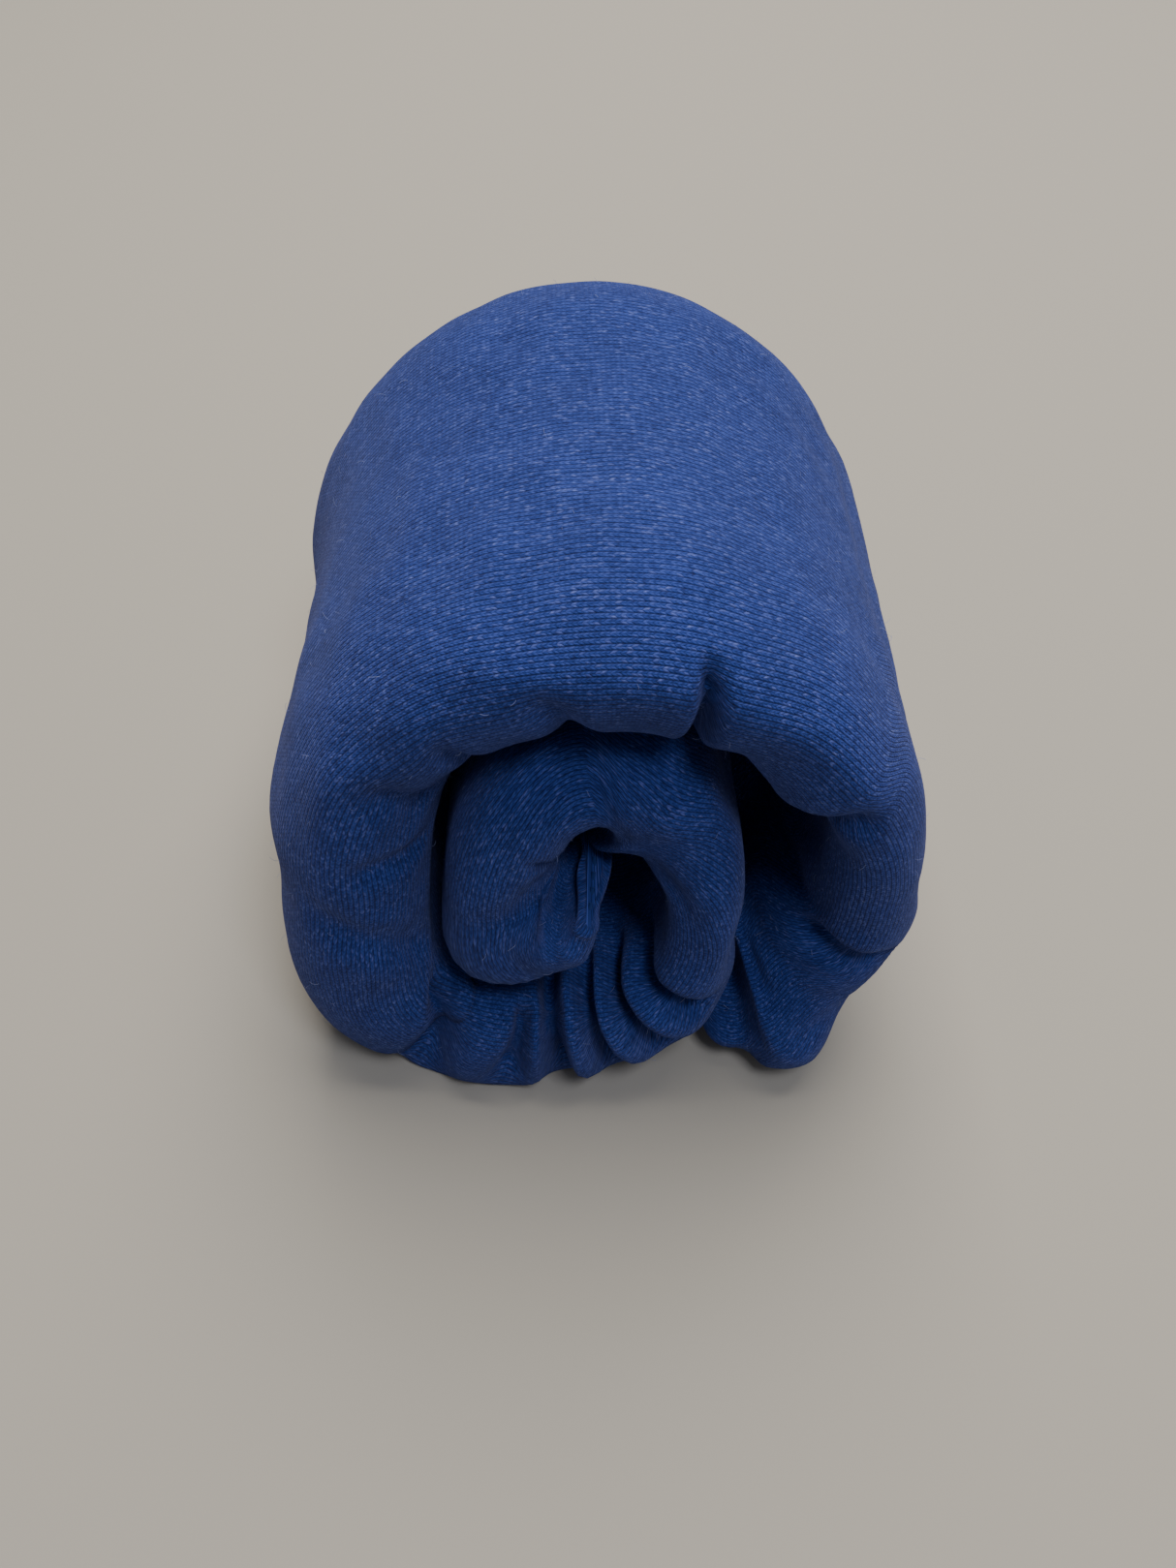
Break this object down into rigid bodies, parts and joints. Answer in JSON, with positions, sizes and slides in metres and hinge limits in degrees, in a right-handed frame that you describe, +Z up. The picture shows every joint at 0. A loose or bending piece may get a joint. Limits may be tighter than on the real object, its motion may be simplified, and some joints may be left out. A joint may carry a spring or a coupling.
{
  "type": "rolled bolster pillow",
  "caption": "Small bolster pillow: a padded knit sleeve wound into a spiral roll, with a free tail that unrolls and a flat underside to rest on.",
  "frame": {"origin": "on the surface the roll lies on, under the middle of its bounding box", "axes": "+Y along the roll from its front end to its back end, +Z up, +X to the right when looking along +Y"},
  "size_m": [0.1099, 0.121, 0.1099],
  "materials": {
    "jersey_knit": "matt heathered jersey",
    "fibre_fill": "matt fibre",
    "sewing_thread": "satin thread"
  },
  "bodies": {
    "roll": {"cover_outer_turn": "jersey_knit", "cover_inner_turn": "jersey_knit", "cover_core_fold": "jersey_knit", "pad_outer_turn": "fibre_fill", "pad_inner_turn": "fibre_fill", "pad_core_fold": "fibre_fill", "thread_core_end": "sewing_thread"},
    "tail": {"cover_tail_wrap": "jersey_knit", "pad_tail_wrap": "fibre_fill", "thread_tail_end": "sewing_thread"}
  },
  "joints": [
    {"name": "tail_unroll", "type": "hinge", "parent": "roll", "child": "tail", "pos_m": [0.02227, 0, 0.10612], "axis": [0, -1, 0], "range_deg": [0, 60]}
  ]
}
